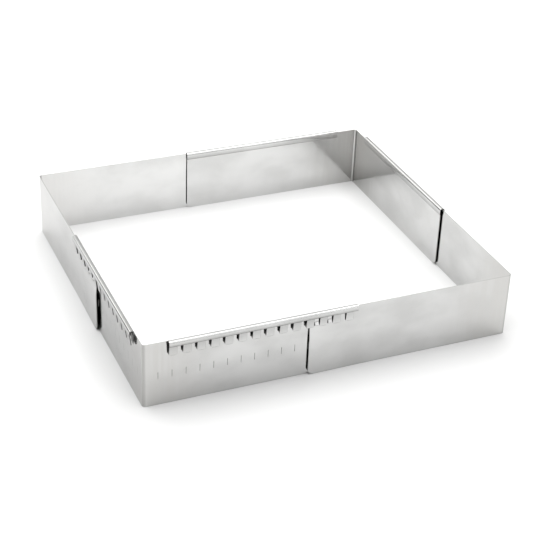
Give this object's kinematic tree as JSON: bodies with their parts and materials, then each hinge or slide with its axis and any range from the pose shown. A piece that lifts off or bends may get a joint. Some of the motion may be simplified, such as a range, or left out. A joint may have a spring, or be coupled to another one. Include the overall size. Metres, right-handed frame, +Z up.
{
  "type": "adjustable cake frame",
  "caption": "Adjustable rectangular cake frame of bent stainless sheet corners whose plain legs slide inside the rolled, tabbed hems of the hemmed ones.",
  "frame": {"origin": "centre of the frame's bounding box, on the plane that its bottom edges stand on", "axes": "+Z up, +X along the width, the longer side as set, and +Y along the depth, towards the back"},
  "size_m": [0.286, 0.266, 0.0508],
  "materials": {
    "stainless_sheet": "bright rolled stainless sheet, 0.5 mm"
  },
  "bodies": {
    "front_hemmed": {"front_hemmed_corner": "stainless_sheet"},
    "right_plain": {"right_plain_corner": "stainless_sheet"},
    "left_plain": {"left_plain_corner": "stainless_sheet"},
    "back_hemmed": {"back_hemmed_corner": "stainless_sheet"}
  },
  "joints": [
    {"name": "width_slide", "type": "slide", "parent": "front_hemmed", "child": "right_plain", "axis": [1, 0, 0], "range_m": [-0.11, 0.02]},
    {"name": "depth_slide", "type": "slide", "parent": "front_hemmed", "child": "left_plain", "axis": [0, 1, 0], "range_m": [-0.09, 0.04]},
    {"name": "back_depth_slide", "type": "slide", "parent": "right_plain", "child": "back_hemmed", "axis": [0, 1, 0], "range_m": [-0.09, 0.04]}
  ],
  "couplings": [
    {"joint": "back_depth_slide", "follows": "depth_slide", "ratio": 1}
  ]
}
